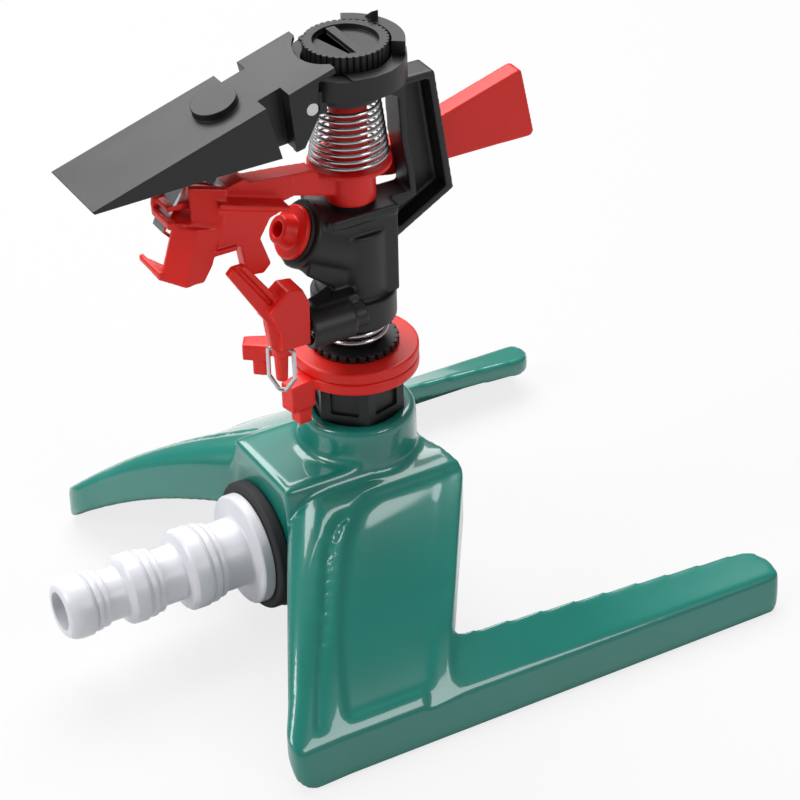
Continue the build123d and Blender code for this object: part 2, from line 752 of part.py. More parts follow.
# Range knob: knurled, with its screw stem down into the crown
with BuildPart() as range_knob:
    with BuildSketch(Plane.XY.offset(knob_foot + seat)):
        Circle(knob_r)
        with PolarLocations(knob_r + 0.1, knob_teeth):
            RegularPolygon(radius=0.6, side_count=3, rotation=180, mode=Mode.SUBTRACT)
    extrude(amount=knob_top - knob_foot - seat)
    add(post(Plane.XY.offset(crown_z + 0.2), 3.0, 3))
    add(post(Plane.XY.offset(knob_top - 1.2), knob_r - 2.2, 2), mode=Mode.SUBTRACT)
    with BuildSketch(Plane.XY.offset(knob_top - 1.5)):
        Rectangle(2.2, 2 * knob_r - 4.8)
    extrude(amount=1.3)
save(range_knob.part, "range_knob")


# Diffuser deflector: an inverted channel with a sloping roof, hinged behind the knob
with BuildPart() as deflector:
    add(slab(
        [
            deflector_tip, deflector_heel, (-7.7, 138.0), (-11.8, 136.9), (-12.0, 129.2),
            (-15.5, 122.8), (-20.4, deflector_under), (-36.0, deflector_under), (-36.6, 120.9),
            (-37.8, 120.9), (-38.4, deflector_under), (-63.4, 121.4),
        ],
        -deflector_half,
        deflector_half,
    ))
    add(slab(
        [(-59.3, 120.0), (-59.3, roof_z(-59.3) - 1.5), (-5.0, roof_z(-5.0) - 1.5), (-5.0, 120.0)],
        deflector_wall - deflector_half,
        deflector_half - deflector_wall,
    ), mode=Mode.SUBTRACT)
    # folded side pockets
    for side, depth in ((-1, 3.9), (1, 3.5)):
        shift = 0 if side < 0 else -2.1
        pad = [
            (-26.0 + shift, roof_z(-26.0 + shift) - 0.5), (-17.6, roof_z(-17.6) - 0.5),
            (-16.6, 122.8), (-22.0 + shift, 122.4),
        ]
        cut = [
            (-24.5 + shift, roof_z(-24.5) + 2), (-19.0 + shift, roof_z(-19) + 2),
            (-17.4, 121.0), (-20.5 + shift, 121.0),
        ]
        inner = side * (deflector_half - depth - 1.4)
        outer = side * (deflector_half - 0.4)
        add(slab(pad, min(inner, outer), max(inner, outer)))
        floor = side * (deflector_half - depth)
        edge = side * (deflector_half + 1)
        add(slab(cut, min(floor, edge), max(floor, edge)), mode=Mode.SUBTRACT)
    roof = Plane(origin=(-30.7, 0, roof_z(-30.7)), x_dir=(0, 1, 0), z_dir=(-slope, 0, 1))
    add(post(roof.offset(-0.8), 5.0, 2.5))
    add(post(Plane.XY.offset(124), knob_r + 2.0, 20), mode=Mode.SUBTRACT)
    with BuildSketch(Plane.XZ.offset(-11.0)):
        with Locations((hinge_x, hinge_z)):
            Circle(hinge_r + seat)
    extrude(amount=22, mode=Mode.SUBTRACT)
save(deflector.part, "deflector")
hinge_axis = Plane(origin=(hinge_x, -deflector_half + 0.1, hinge_z), x_dir=(1, 0, 0), z_dir=(0, 1, 0))
save(post(hinge_axis, hinge_r, 2 * deflector_half - 0.2), "deflector_pin")


# Trip lever: block on the shaft, arm up into the hammer's notch, nose for the wire
loop_x = -23.4
loop_y = -10.0
loop_z = 76.6
across = (0.7071, -0.7071, 0)
loop_hole = Plane(origin=(loop_x - 4.2, loop_y + 4.2, loop_z), x_dir=(0, 0, 1), z_dir=across)
lever_block = [
    (-17.5, 77.6), (-17.5, 88.0), (-19.0, 91.5), (-22.5, 92.0), (-27.0, 88.0), (-24.6, 82.0), (-24.6, 77.6),
]
lever_arm = [
    (-20.0, 84.0), (-22.5, 88.5), (-30.8, 94.3), (-31.0, 100.4), (-35.2, 100.4), (-35.0, 95.0), (-24.6, 82.0),
]
with BuildPart() as trip_lever:
    add(slab(lever_block, -13.0, -7.0))
    add(slab(lever_arm, -9.8, -6.8))
    add(post(Plane(origin=(loop_x, loop_y, 78.0), z_dir=(0, 0, -1)), 2.0, 2.6))
    with BuildSketch(Plane(origin=(loop_x, loop_y, 75.4), z_dir=(0, 0, -1))):
        Circle(2.0)
    extrude(amount=1.2, taper=35)
    shaft_axis = Plane(origin=(-26.0, trip_y, trip_z), x_dir=(0, 1, 0), z_dir=(1, 0, 0))
    add(post(shaft_axis, trip_shaft_r + slip, 10), mode=Mode.SUBTRACT)
    add(post(loop_hole, trip_wire / 2 + slip, 12), mode=Mode.SUBTRACT)
save(trip_lever.part, "trip_lever")

save(
    post(Plane(origin=(-24.4, trip_y, trip_z), x_dir=(0, 1, 0), z_dir=(1, 0, 0)), trip_shaft_r, 18.0),
    "trip_shaft",
)

trip_coil = coil(2.5, 2.5, 0.4, 4.0, 3.5, 0.8)
save(trip_coil.rotate(Axis.Y, 90).translate((trip_barrel_x + 0.3, trip_y, trip_z)), "trip_spring")

# Wire loop: crosses the lever's nose and hangs as a pointed loop
loop_plane = Plane(origin=(loop_x, loop_y, loop_z), x_dir=across, z_dir=(-0.7071, -0.7071, 0))
with BuildPart() as wire_loop:
    with BuildLine(loop_plane) as loop_path:
        FilletPolyline(
            (0, 0), (2.9, 0), (2.9, -7.0), (0.8, -10.3), (-0.8, -10.3), (-2.9, -7.0), (-2.9, 0), (-0.01, 0),
            radius=0.7,
        )
    with BuildSketch(Plane(origin=loop_path.line @ 0, z_dir=loop_path.line % 0)):
        RegularPolygon(radius=trip_wire / 2, side_count=8)
    sweep()
save(wire_loop.part, "trip_wire")
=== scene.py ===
import math
from functools import partial

import bmesh
import bpy
from mathutils import Matrix, Vector


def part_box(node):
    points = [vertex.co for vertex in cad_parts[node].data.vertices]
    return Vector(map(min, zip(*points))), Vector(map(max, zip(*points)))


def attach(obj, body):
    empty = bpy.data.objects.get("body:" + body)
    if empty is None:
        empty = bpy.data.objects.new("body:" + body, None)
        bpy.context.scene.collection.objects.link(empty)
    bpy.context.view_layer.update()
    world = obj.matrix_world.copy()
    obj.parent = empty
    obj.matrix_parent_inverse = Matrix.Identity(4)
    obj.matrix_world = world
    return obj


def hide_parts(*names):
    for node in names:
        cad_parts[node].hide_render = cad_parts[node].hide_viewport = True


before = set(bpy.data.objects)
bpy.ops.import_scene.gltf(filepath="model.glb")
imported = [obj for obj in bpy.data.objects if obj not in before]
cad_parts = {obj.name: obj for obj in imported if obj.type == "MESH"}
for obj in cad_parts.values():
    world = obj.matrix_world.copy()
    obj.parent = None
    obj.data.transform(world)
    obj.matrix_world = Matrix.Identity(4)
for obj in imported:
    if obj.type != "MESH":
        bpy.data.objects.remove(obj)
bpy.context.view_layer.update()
mm = 0.001


# Studio: a pale floor that runs out to a white room, one large soft box above and behind the
# sprinkler, and two weaker ones, high on the left and in front on the right. The camera has
# the photograph's long lens and looks down from the hose-tail corner.
def linked(maker, name):
    """A new object in the scene around one new data block of the same name."""
    made = bpy.data.objects.new(name, maker(name))
    bpy.context.scene.collection.objects.link(made)
    return made


camera = linked(bpy.data.cameras.new, "photo_camera")
camera.data.lens = 135
camera.data.sensor_width = 36
camera.data.clip_start = 0.05
camera.data.clip_end = 20
camera_place = Vector((-265.9, -496.3, 417.2)) * mm
view_right = Vector((0.867, -0.498, -0.019)).normalized()
view_up = Vector((0.286, 0.466, 0.837))
view_up = (view_up - view_right * view_up.dot(view_right)).normalized()
view_back = view_right.cross(view_up)
view_turn = Matrix((view_right, view_up, view_back)).transposed().to_4x4()
camera.matrix_world = Matrix.Translation(camera_place) @ view_turn
bpy.context.scene.camera = camera
bpy.context.scene.view_settings.view_transform = "Standard"


def soft_box(name, size, power, place, aim):
    """A square area light turned towards a point of the sprinkler."""
    lamp = linked(partial(bpy.data.lights.new, type="AREA"), name)
    lamp.data.shape = "SQUARE"
    lamp.data.size = size
    lamp.data.energy = power
    lamp.location = place
    lamp.rotation_euler = (Vector(aim) - Vector(place)).to_track_quat("-Z", "Y").to_euler()


soft_box("top_box", size=0.9, power=15.0, place=(0.15, 0.5, 0.95), aim=(0, 0, 0.07))
soft_box("left_box", size=0.4, power=4.5, place=(-0.8, 0.1, 0.6), aim=(0, 0, 0.07))
soft_box("front_box", size=0.4, power=2.6, place=(0.35, -0.95, 0.6), aim=(0, 0, 0.05))

room = bpy.data.worlds.new("white_room")
bpy.context.scene.world = room
room.use_nodes = True
tree = room.node_tree
ray = tree.nodes.new("ShaderNodeLightPath")
seen = tree.nodes.new("ShaderNodeMath")
seen.operation = "MAXIMUM"
level = tree.nodes.new("ShaderNodeMapRange")
level.inputs["To Min"].default_value = 0.2
level.inputs["To Max"].default_value = 1.0
backdrop = tree.nodes["Background"]
backdrop.inputs["Color"].default_value = (1, 1, 1, 1)
tree.links.new(ray.outputs["Is Camera Ray"], seen.inputs[0])
tree.links.new(ray.outputs["Is Transmission Ray"], seen.inputs[1])
tree.links.new(seen.outputs[0], level.inputs["Value"])
tree.links.new(level.outputs[0], backdrop.inputs["Strength"])

floor_shape = bmesh.new()
bmesh.ops.create_grid(floor_shape, x_segments=1, y_segments=1, size=4.0)
floor = linked(bpy.data.meshes.new, "floor")
floor_shape.to_mesh(floor.data)
floor_shape.free()
floor.location.z = -0.2 * mm
floor_paper = bpy.data.materials.new("floor_paper")
floor_paper.use_nodes = True
tree = floor_paper.node_tree
paper = tree.nodes["Principled BSDF"]
paper.inputs["Base Color"].default_value = (0.6, 0.6, 0.6, 1)
paper.inputs["Roughness"].default_value = 0.6
glow = tree.nodes.new("ShaderNodeEmission")
glow.inputs["Strength"].default_value = 1.0
ray = tree.nodes.new("ShaderNodeLightPath")
glow_share = tree.nodes.new("ShaderNodeMath")
glow_share.operation = "MULTIPLY"
glow_share.inputs[1].default_value = 0.8
blend = tree.nodes.new("ShaderNodeMixShader")
tree.links.new(ray.outputs["Is Camera Ray"], glow_share.inputs[0])
tree.links.new(glow_share.outputs[0], blend.inputs[0])
tree.links.new(paper.outputs[0], blend.inputs[1])
tree.links.new(glow.outputs[0], blend.inputs[2])
tree.links.new(blend.outputs[0], tree.nodes["Material Output"].inputs["Surface"])
floor.data.materials.append(floor_paper)


# Base casting: a zinc casting, fettled and dipped in green gloss enamel, which the hose tail
# and the nipple fit into. The legs' shoulders are broadly rounded, all edges are soft under
# the paint, and the paint has a faint orange-peel ripple.
def finish(name, colour, roughness, coat=0.0, coat_roughness=0.05, metallic=0.0, specular=0.5):
    """A Principled material with plain values, ready for its surface detail."""
    made = bpy.data.materials.new(name)
    made.use_nodes = True
    shader = made.node_tree.nodes["Principled BSDF"]
    shader.inputs["Base Color"].default_value = (*colour, 1)
    shader.inputs["Roughness"].default_value = roughness
    shader.inputs["Coat Weight"].default_value = coat
    shader.inputs["Coat Roughness"].default_value = coat_roughness
    shader.inputs["Metallic"].default_value = metallic
    shader.inputs["Specular IOR Level"].default_value = specular
    return made


grain = bpy.data.node_groups.new("surface_grain", "ShaderNodeTree")
for label, way, kind in (
    ("Scale", "INPUT", "NodeSocketFloat"),
    ("Dark", "INPUT", "NodeSocketColor"),
    ("Light", "INPUT", "NodeSocketColor"),
    ("Smooth", "INPUT", "NodeSocketFloat"),
    ("Rough", "INPUT", "NodeSocketFloat"),
    ("Colour", "OUTPUT", "NodeSocketColor"),
    ("Roughness", "OUTPUT", "NodeSocketFloat"),
    ("Height", "OUTPUT", "NodeSocketFloat"),
):
    grain.interface.new_socket(label, in_out=way, socket_type=kind)
given = grain.nodes.new("NodeGroupInput")
result = grain.nodes.new("NodeGroupOutput")
surface = grain.nodes.new("ShaderNodeTexCoord")
fine = grain.nodes.new("ShaderNodeTexNoise")
fine.inputs["Detail"].default_value = 3.0
broad = grain.nodes.new("ShaderNodeTexNoise")
broad.inputs["Scale"].default_value = 60.0
broad.inputs["Detail"].default_value = 2.0
mixed = grain.nodes.new("ShaderNodeMix")
mixed.data_type = "RGBA"
span = grain.nodes.new("ShaderNodeMapRange")
join = grain.links.new
join(surface.outputs["Object"], fine.inputs["Vector"])
join(surface.outputs["Object"], broad.inputs["Vector"])
join(given.outputs["Scale"], fine.inputs["Scale"])
join(broad.outputs["Fac"], mixed.inputs["Factor"])
join(given.outputs["Dark"], mixed.inputs["A"])
join(given.outputs["Light"], mixed.inputs["B"])
join(broad.outputs["Fac"], span.inputs["Value"])
join(given.outputs["Smooth"], span.inputs["To Min"])
join(given.outputs["Rough"], span.inputs["To Max"])
join(mixed.outputs["Result"], result.inputs["Colour"])
join(span.outputs[0], result.inputs["Roughness"])
join(fine.outputs["Fac"], result.inputs["Height"])


def grained(made, dark, light, scale, smooth, rough, depth):
    """Adds the grain group to a material: colour drift, roughness drift and fine relief."""
    nodes = made.node_tree.nodes
    links = made.node_tree.links
    shader = nodes["Principled BSDF"]
    group = nodes.new("ShaderNodeGroup")
    group.node_tree = grain
    group.inputs["Scale"].default_value = scale
    group.inputs["Dark"].default_value = (*dark, 1)
    group.inputs["Light"].default_value = (*light, 1)
    group.inputs["Smooth"].default_value = smooth
    group.inputs["Rough"].default_value = rough
    relief = nodes.new("ShaderNodeBump")
    relief.inputs["Strength"].default_value = 1.0
    relief.inputs["Distance"].default_value = depth
    links.new(group.outputs["Colour"], shader.inputs["Base Color"])
    links.new(group.outputs["Roughness"], shader.inputs["Roughness"])
    links.new(group.outputs["Height"], relief.inputs["Height"])
    links.new(relief.outputs["Normal"], shader.inputs["Normal"])
    return made


def merged_shape(node):
    """A CAD node's mesh with the corners of its triangles joined."""
    shape = bmesh.new()
    shape.from_mesh(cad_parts[node].data)
    bmesh.ops.remove_doubles(shape, verts=shape.verts, dist=0.004 * mm)
    return shape


def meshed(shape, name):
    """A new object around a finished shape, which is freed."""
    made = linked(bpy.data.meshes.new, name)
    shape.to_mesh(made.data)
    shape.free()
    return made


def round_edges(piece, width, degrees):
    """Rounds the edges that turn by more than an angle, and returns the modifier."""
    rounding = piece.modifiers.new("rounding", "BEVEL")
    rounding.width = width
    rounding.segments = 2
    rounding.limit_method = "ANGLE"
    rounding.angle_limit = math.radians(degrees)
    return rounding


def relax(shape, rounds):
    """Moves every vertex halfway to the middle of its neighbours, some rounds over."""
    for _ in range(rounds):
        bmesh.ops.smooth_vert(
            shape, verts=shape.verts, factor=0.5, use_axis_x=True, use_axis_y=True, use_axis_z=True
        )


def stand_in(piece, node, body, material):
    """Shows a piece in a CAD node's place, on the node's body."""
    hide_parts(node)
    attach(piece, body)
    piece.data.materials.append(material)


def moulded_copy(node, body, material, voxel, rounds, extras=None, edge=0.3 * mm):
    """A CAD node's copy, with any extra forms fused in, remeshed and relaxed to soft edges."""
    shape = merged_shape(node)
    if extras:
        extras(shape)
    rough = meshed(shape, node + "_rough")
    round_edges(rough, edge, degrees=25)
    remesh = rough.modifiers.new("even_skin", "REMESH")
    remesh.mode = "VOXEL"
    remesh.voxel_size = voxel
    evaluated = rough.evaluated_get(bpy.context.evaluated_depsgraph_get())
    skin = bpy.data.meshes.new_from_object(evaluated)
    bpy.data.objects.remove(rough)
    soft = bmesh.new()
    soft.from_mesh(skin)
    relax(soft, rounds)
    for face in soft.faces:
        face.smooth = True
    piece = meshed(soft, node + "_dressed")
    stand_in(piece, node, body, material)
    return piece


def ramp(value, start, length):
    """0 before the start, 1 past the length, and a straight run between."""
    return min(max((value - start) / length, 0), 1)


enamel = grained(
    finish("green_enamel", (0.003, 0.21, 0.165), 0.3, coat=1.0, coat_roughness=0.06),
    dark=(0.002, 0.185, 0.145), light=(0.004, 0.235, 0.185),
    scale=260.0, smooth=0.28, rough=0.4, depth=0.02 * mm,
)
casting = moulded_copy(
    "base_casting", "base", enamel, voxel=0.72 * mm, rounds=4, edge=1.1 * mm
)

# The arch is the line of the legs' upper face, seen from the hose tail. Both legs are shaped
# alike, with Y counted outwards from the middle.
leg_root = 12.6 * mm
leg_tip = 60.4 * mm
leg_side = 60.3 * mm
shaped_from = leg_root + 0.4 * mm
arch_middle_y = -17.07 * mm
arch_middle_z = -54.50 * mm
arch_radius = 98.10 * mm

# The edge on the hose tail's side runs back from root to tip, and the shoulder above it bends
# down towards it.
edge_root_x = -25.2 * mm
edge_tip_x = -51.5 * mm
edge_slant = 0.876
shoulder_root = 9.0
shoulder_taper = 4.0
shoulder_fall = 0.8

# The panel is sunk below the arch on the runners' side of a slanting edge, and runs out where
# the leg becomes the runner.
panel_top = Vector((13.5, 17.6)) * mm
panel_foot = Vector((-13.0, 55.3)) * mm
panel_slope = (panel_foot.x - panel_top.x) / (panel_foot.y - panel_top.y)
panel_border = 1.5 * mm
panel_depth = 1.1 * mm
runner_from_y = 41.0 * mm
runner_fade = 7 * mm
panel_end_x = -2.0 * mm
panel_fade = 22 * mm

# The tip's outer corner is drawn out, since the remeshing rounds it too far.
corner_from_x = -36 * mm
corner_run_x = -14 * mm
corner_from_y = 48 * mm
corner_run_y = 9 * mm
corner_back = 1.8 * mm
corner_out = 0.8 * mm

soft = bmesh.new()
soft.from_mesh(casting.data)
for vert in soft.verts:
    x, y, z = vert.co.x, abs(vert.co.y), vert.co.z
    if y <= shaped_from:
        continue
    outward = (y - leg_root) / (leg_tip - leg_root)
    arch = arch_middle_z + math.sqrt(max(arch_radius ** 2 - (y - arch_middle_y) ** 2, 0))
    inward = (x - edge_root_x - (edge_tip_x - edge_root_x) * outward) * edge_slant
    bend = (shoulder_root - shoulder_taper * outward) * mm
    if inward < bend:
        drop = bend - math.sqrt(max(bend ** 2 - (bend - max(inward, 0)) ** 2, 0))
        vert.co.z = min(z, arch - drop * shoulder_fall)
    panel_edge = panel_top.x + (y - panel_top.y) * panel_slope
    on_runner = ramp(y, runner_from_y, runner_fade)
    sunk = 1 - on_runner * (1 - ramp(x, panel_end_x, -panel_fade))
    if y > panel_top.y and x > panel_edge - panel_border and sunk > 0:
        vert.co.z = min(vert.co.z, arch - panel_depth * sunk)
    corner = ramp(x, corner_from_x, corner_run_x) * ramp(y, corner_from_y, corner_run_y)
    vert.co.x -= corner * corner_back
    vert.co.y = math.copysign(min(y + corner * corner_out, leg_side), vert.co.y)
relax(soft, rounds=3)
soft.to_mesh(casting.data)
soft.free()

# Hose tail: one white acetal moulding for two sizes of hose, screwed into the casting's inlet.
# Each size has a chamfered lead and raised ribs to grip, and a flange presses the gasket. The
# outline gives the distance from the open end and the radius, in millimetres.
white_acetal = grained(
    finish("white_acetal", (0.75, 0.76, 0.8), 0.3),
    dark=(0.72, 0.73, 0.78), light=(0.78, 0.79, 0.83),
    scale=900.0, smooth=0.26, rough=0.36, depth=0.006 * mm,
)
tail_low, tail_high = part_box("hose_tail")
tail_outline = [
    (0.0, 4.4), (0.0, 5.4), (0.3, 6.1), (1.6, 6.9), (3.0, 7.2), (5.6, 7.2), (6.0, 6.8), (6.1, 6.2),
    (6.5, 6.2), (6.7, 6.8), (7.8, 6.8), (8.0, 6.2), (8.4, 6.2), (8.6, 6.5), (9.6, 6.5), (9.9, 5.9),
    (14.2, 5.9), (14.6, 7.2), (15.4, 8.0), (18.6, 8.1), (19.0, 7.3), (19.4, 7.3), (19.6, 7.8),
    (20.8, 7.8), (21.0, 7.1), (21.4, 7.1), (21.6, 7.4), (22.6, 7.4), (22.9, 6.5), (28.6, 6.5),
    (29.0, 8.8), (29.8, 9.5), (33.2, 9.5), (33.6, 8.6), (34.0, 8.6), (34.2, 9.2), (35.4, 9.2),
    (35.6, 8.3), (36.0, 8.3), (36.2, 8.7), (37.2, 8.7), (37.5, 8.0), (43.6, 8.0), (44.0, 8.4),
    (44.1, 12.2), (44.5, 12.7), (46.9, 12.7), (47.0, 10.2), (60.2, 10.2), (60.2, 4.4),
]
shape = bmesh.new()
section = [
    shape.verts.new((tail_low.x + along * mm, 0, radius * mm)) for along, radius in tail_outline
]
edges = [shape.edges.new(pair) for pair in zip(section, section[1:] + section[:1])]
bmesh.ops.spin(
    shape, geom=section + edges, cent=(0, 0, 0), axis=(1, 0, 0), angle=math.tau, steps=72,
    use_merge=True,
)
bmesh.ops.remove_doubles(shape, verts=shape.verts, dist=0.001 * mm)
bmesh.ops.recalc_face_normals(shape, faces=shape.faces)
bmesh.ops.translate(shape, verts=shape.verts, vec=(0, 0, (tail_low.z + tail_high.z) / 2))
for face in shape.faces:
    face.smooth = True
tail = meshed(shape, "hose_tail_ribbed")
tail.data.set_sharp_from_angle(angle=math.radians(50))
round_edges(tail, width=0.18 * mm, degrees=35)
stand_in(tail, "hose_tail", "base", white_acetal)


# Hammer washer: a thin ring of the same white acetal, loose on the fulcrum pin. It carries
# the hammer's hub as it swings.
def rounded_copy(node, body, material, edge):
    """A merged copy of a CAD node with its edges rounded, shown in the node's place."""
    crease = 28
    flat = math.radians(0.8)
    shape = merged_shape(node)
    bmesh.ops.dissolve_limit(
        shape, angle_limit=flat, verts=shape.verts, edges=shape.edges, delimit=set()
    )
    for face in shape.faces:
        face.smooth = True
    piece = meshed(shape, node + "_dressed")
    for name in ("custom_normal", "sharp_face", "sharp_edge"):
        if name in piece.data.attributes:
            piece.data.attributes.remove(piece.data.attributes[name])
    piece.data.set_sharp_from_angle(angle=math.radians(crease))
    rounding = round_edges(piece, edge, crease)
    rounding.harden_normals = True
    stand_in(piece, node, body, material)


rounded_copy("hammer_washer", "head", white_acetal, 0.1 * mm)

# Inlet gasket: a flat black rubber ring, nipped between the hose tail's flange and the
# casting's inlet.
rubber = grained(
    finish("black_rubber", (0.02, 0.02, 0.022), 0.7),
    dark=(0.016, 0.016, 0.018), light=(0.028, 0.028, 0.03),
    scale=1500.0, smooth=0.6, rough=0.8, depth=0.02 * mm,
)
rounded_copy("inlet_gasket", "base", rubber, 0.3 * mm)

# Small black mouldings: glass-filled nylon with a fine spark-eroded texture. The nipple and
# the retaining flange hold the spindle in the base, the crown ring is a push fit on the
# head's bridge, and the knob and the deflector set how far the jet reaches.
black_nylon = grained(
    finish("black_nylon", (0.008, 0.008, 0.009), 0.42),
    dark=(0.006, 0.006, 0.007), light=(0.012, 0.012, 0.013),
    scale=2600.0, smooth=0.36, rough=0.5, depth=0.015 * mm,
)
for node, body, edge in (
    ("hex_nipple", "base", 0.35),
    ("retaining_flange", "base", 0.12),
    ("crown_ring", "head", 0.25),
    ("range_knob", "knob", 0.2),
    ("deflector", "diffuser", 0.3),
):
    rounded_copy(node, body, black_nylon, edge * mm)

# Head body: bearing, barrel and bridge in one moulding of the same black nylon, with softer
# edges than the small parts have. It turns on the spindle.
moulded_copy("sprinkler_body", "head", black_nylon, voxel=0.32 * mm, rounds=3)

# Hammer: one moulding in signal-red acetal, pivoted on the pin. The arm reaches over the jet
# to a block and a bent spoon, which throws the hammer aside, and the wedge behind the pin
# balances it.
red_acetal = grained(
    finish("red_acetal", (0.8, 0.014, 0.008), 0.36, specular=0.4),
    dark=(0.72, 0.011, 0.006), light=(0.86, 0.018, 0.010),
    scale=1400.0, smooth=0.32, rough=0.44, depth=0.01 * mm,
)


def thicken(shape, corners, push):
    """Puts a face on some corners and grows it into a closed wall along a push vector."""
    face = shape.faces.new(corners)
    grown = bmesh.ops.extrude_face_region(shape, geom=[face])
    moved = [item for item in grown["geom"] if isinstance(item, bmesh.types.BMVert)]
    bmesh.ops.translate(shape, verts=moved, vec=push)
    touched = {near for vert in moved for near in vert.link_faces}
    bmesh.ops.recalc_face_normals(shape, faces=[face, *touched])


def plate(shape, outline, near_y, far_y):
    """A flat form with an XZ outline, in millimetres, between two Y positions."""
    corners = [shape.verts.new((x * mm, near_y * mm, z * mm)) for x, z in outline]
    thicken(shape, corners, (0, (far_y - near_y) * mm, 0))


def skin_plate(shape, places, push):
    """A thin wall on any corners, thickened along a push vector, both in millimetres."""
    corners = [shape.verts.new(Vector(place) * mm) for place in places]
    thicken(shape, corners, Vector(push) * mm)


def cut_away(shape, point, normal):
    """Removes what lies past a plane and closes the cut."""
    done = bmesh.ops.bisect_plane(
        shape, geom=shape.verts[:] + shape.edges[:] + shape.faces[:], dist=0.0001 * mm,
        plane_co=Vector(point) * mm, plane_no=normal, clear_outer=True,
    )
    edges = [item for item in done["geom_cut"] if isinstance(item, bmesh.types.BMEdge)]
    bmesh.ops.contextual_create(shape, geom=edges)


def hammer_front(shape):
    """The arm's nose, the block beside the jet, and the spoon with its lip and foot."""
    arm_cut = (-17.6, 0, 0)
    cut_away(shape, arm_cut, (-1, 0, 0))
    nose = [
        (-15.0, 107.8), (-18.5, 107.2), (-28.5, 110.5), (-31.5, 112.5), (-31.0, 114.3),
        (-26.2, 115.4), (-25.0, 114.2), (-15.0, 113.1),
    ]
    block = [
        (-34.0, 112.8), (-18.0, 107.6), (-22.3, 106.4), (-24.8, 102.2), (-22.6, 95.6),
        (-24.4, 93.8), (-28.4, 94.0), (-29.6, 101.8), (-35.6, 101.8), (-34.8, 107.2),
    ]
    ledge = [(-34.2, 113.6), (-17.8, 108.2), (-17.8, 106.9), (-34.2, 112.2)]
    step = [(-36.6, 102.7), (-36.6, 101.6), (-30.6, 101.6), (-30.6, 102.7)]
    bridge = [(-28.5, 110.5), (-44.0, 112.0), (-44.0, 113.3), (-28.5, 113.6)]
    far_cheek = [(-45.0, 111.6), (-44.6, 113.4), (-37.0, 115.2), (-38.5, 109.5), (-42.6, 107.0)]
    for outline, near_y, far_y in (
        (nose, -2.7, 2.3),
        (block, -6.0, -2.4),
        (ledge, -6.9, 0.5),
        (step, -6.9, -3.0),
        (bridge, -1.8, 4.6),
        (far_cheek, 3.2, 4.6),
    ):
        plate(shape, outline, near_y, far_y)
    spoon_edge = [
        (-43.7, -3.6, 109.7), (-39.4, -6.2, 108.8), (-42.9, -6.3, 95.8), (-47.4, -3.8, 97.8),
    ]
    spoon_face = [
        (-39.4, -6.2, 108.8), (-34.2, -6.6, 107.6), (-36.6, -6.6, 99.6), (-38.7, -6.6, 96.2),
        (-42.9, -6.3, 95.8),
    ]
    spoon_roof = [
        (-44.3, -3.6, 110.6), (-33.8, -6.6, 108.4), (-36.0, 1.5, 109.4), (-44.3, 4.4, 110.6),
    ]
    lip = [
        (-44.9, -3.8, 111.0), (-43.5, -4.4, 111.0), (-43.5, 4.4, 111.0), (-44.9, 4.4, 111.0),
    ]
    wing = [
        (-39.6, -3.4, 117.4), (-31.3, -5.2, 115.6), (-33.8, -6.7, 107.6), (-39.9, -4.4, 109.4),
    ]
    foot_edge = [
        (-47.8, -3.9, 99.6), (-47.8, 5.8, 99.6), (-47.8, 5.8, 98.2), (-47.8, -3.9, 97.9),
    ]
    foot = [(-47.6, -3.9, 98.4), (-47.6, 5.6, 98.6), (-44.2, -2.0, 98.4)]
    for places, push in (
        (spoon_edge, (0.7, 1.7, 0)),
        (spoon_face, (0.7, 1.7, 0)),
        (spoon_roof, (0, 0, -1.3)),
        (lip, (0, 0, -1.9)),
        (wing, (0.5, 1.5, 0)),
        (foot_edge, (1.2, 0, 0)),
        (foot, (0, 0, 1.1)),
    ):
        skin_plate(shape, places, push)


moulded_copy(
    "hammer_arm", "hammer", red_acetal, voxel=0.26 * mm, rounds=3,
    extras=hammer_front,
)


# Trip rings: two red acetal rings that grip the journal by friction, each with a stepped stop
# finger. They are turned by hand to set where the head reverses.
def ring_finger(shape, turn, reach, foot, top):
    """A stepped finger in place of the plain one: a broad upper block and a narrower foot."""
    out = Vector((math.cos(math.radians(turn)), math.sin(math.radians(turn)), 0))
    side = Vector((-out.y, out.x, 0))
    plain_root = reach - 4.6
    outer_taper = 0.8
    cut_away(shape, out * plain_root, out)
    for inner, outer, low, high, half in (
        (reach - 6.2, reach, foot + 4.0, top, 2.6),
        (reach - 5.4, reach - 2.2, foot, foot + 5.0, 2.1),
    ):
        corners = [
            out * inner + side * half, out * inner - side * half,
            out * outer - side * half * outer_taper, out * outer + side * half * outer_taper,
        ]
        skin_plate(shape, [(c.x, c.y, low) for c in corners], (0, 0, high - low))


for node, body, turn, reach, foot in (
    ("trip_ring_lower", "ring_lower", 192.0, 20.0, 52.0),
    ("trip_ring_upper", "ring_upper", 147.5, 25.0, 57.5),
):
    low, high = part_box(node)
    top = high.z / mm - 0.1
    finger = partial(ring_finger, turn=turn, reach=reach, foot=foot, top=top)
    moulded_copy(
        node, body, red_acetal, voxel=0.2 * mm, rounds=9, extras=finger
    )


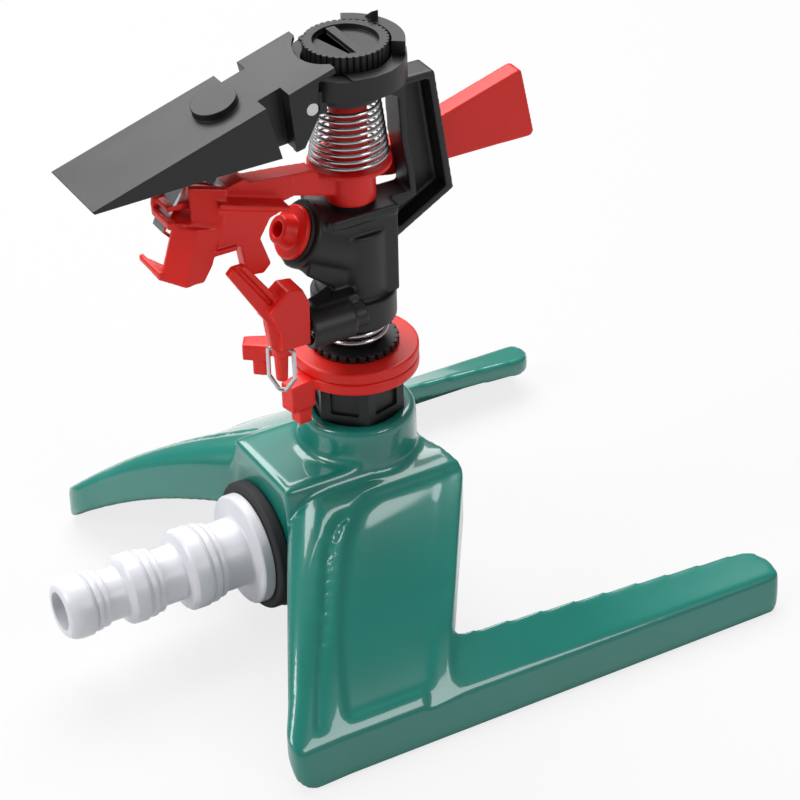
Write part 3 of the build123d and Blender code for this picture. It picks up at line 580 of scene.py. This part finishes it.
# Trip lever: a red acetal block that rocks on the shaft. The ridged arm reaches into the
# hammer's notch, and a rounded finger hangs inside the wire loop.
def lever_forms(shape):
    """The straight ridged arm, the rib down the block, and the hanging finger."""
    arm_cut = (-27.2, 0, 0)
    cut_away(shape, arm_cut, (-1, 0, 0))
    arm_web = [(-35.4, 98.8), (-33.9, 100.2), (-31.2, 100.2), (-22.5, 87.0), (-25.8, 83.4)]
    outer_ridge = [(-35.4, 98.8), (-33.9, 100.2), (-25.0, 87.2), (-26.2, 83.6)]
    inner_ridge = [(-32.6, 100.2), (-31.2, 100.2), (-21.8, 87.0), (-23.0, 86.4)]
    rib = [(-27.0, 84.5), (-26.2, 78.4), (-22.9, 73.6), (-21.6, 78.0), (-22.0, 84.0)]
    for outline, near_y, far_y in (
        (arm_web, -10.4, -9.4),
        (outer_ridge, -11.4, -9.5),
        (inner_ridge, -11.4, -9.5),
        (rib, -11.6, -9.0),
    ):
        plate(shape, outline, near_y, far_y)
    finger_middle = Vector((-23.4, -10.0, 73.2)) * mm
    bmesh.ops.create_cone(
        shape, cap_ends=True, segments=20, radius1=1.3 * mm, radius2=1.7 * mm, depth=8.4 * mm,
        matrix=Matrix.Translation(finger_middle),
    )


moulded_copy(
    "trip_lever", "lever", red_acetal, voxel=0.2 * mm, rounds=6,
    extras=lever_forms,
)

# Nozzle: a domed disc of red acetal with the jet hole in a raised boss. It screws into the
# head's barrel.
moulded_copy("nozzle", "head", red_acetal, voxel=0.2 * mm, rounds=4)

# Steel: the splash strip, the bent wires and the plain pins, bright drawn and slightly
# scratched. They are pressed or hooked into the mouldings.
steel = grained(
    finish("bright_steel", (0.62, 0.62, 0.64), 0.22, metallic=1.0),
    dark=(0.55, 0.55, 0.57), light=(0.7, 0.7, 0.72),
    scale=3000.0, smooth=0.16, rough=0.3, depth=0.004 * mm,
)
for node, body in (
    ("splash_strip", "hammer"),
    ("trip_wire", "wire"),
    ("trip_spring", "head"),
    ("trip_shaft", "head"),
    ("deflector_pin", "diffuser"),
    ("fulcrum_pin", "head"),
):
    rounded_copy(node, body, steel, 0.05 * mm)


# Coil springs: round wire of the same steel, held between two faces. The arm spring, wider at
# its foot, brings the hammer back, and the dust spring keeps the seals under the head shut.
def wound(node, body, foot_r, top_r, turns, wire):
    """A smooth coil spun from one wire section, in place of the CAD's straight-run coil."""
    wire_sides = 10
    steps_per_turn = 32
    low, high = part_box(node)
    foot_z = low.z + wire / 2
    top_z = high.z - wire / 2
    steps = round(turns * steps_per_turn)
    upright = Matrix.Rotation(math.radians(90), 4, "X")
    shape = bmesh.new()
    bmesh.ops.create_circle(shape, segments=wire_sides, radius=wire / 2, matrix=upright)
    bmesh.ops.translate(shape, verts=shape.verts, vec=(foot_r, 0, foot_z))
    bmesh.ops.spin(
        shape, geom=shape.edges[:] + shape.verts[:], cent=(0, 0, 0), axis=(0, 0, 1),
        dvec=(0, 0, (top_z - foot_z) / steps), angle=turns * math.tau, steps=steps, use_merge=False,
    )
    bmesh.ops.remove_doubles(shape, verts=shape.verts, dist=0.002 * mm)
    bmesh.ops.holes_fill(shape, edges=[e for e in shape.edges if e.is_boundary], sides=0)
    for vert in shape.verts:
        flat = Vector((vert.co.x, vert.co.y, 0))
        shift = (top_r - foot_r) * ramp(vert.co.z, foot_z, top_z - foot_z)
        vert.co += flat.normalized() * shift
    bmesh.ops.recalc_face_normals(shape, faces=shape.faces)
    for face in shape.faces:
        face.smooth = len(face.verts) == 4
    piece = meshed(shape, node + "_wound")
    stand_in(piece, node, body, steel)


wound("arm_spring", "head", foot_r=8.5 * mm, top_r=6.7 * mm, turns=9.5, wire=0.8 * mm)
wound("dust_spring", "head", foot_r=7.0 * mm, top_r=7.0 * mm, turns=2.4, wire=1.2 * mm)

# Inner parts that keep their CAD shape: the spindle and the flow straightener are black nylon,
# the seals are rubber and the friction washer is acetal.
for node, material in (
    ("spindle_tube", black_nylon),
    ("flow_straightener", black_nylon),
    ("seal_washer", rubber),
    ("nozzle_seal", rubber),
    ("friction_washer", white_acetal),
):
    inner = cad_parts[node]
    inner.material_slots[0].link = "OBJECT"
    inner.material_slots[0].material = material
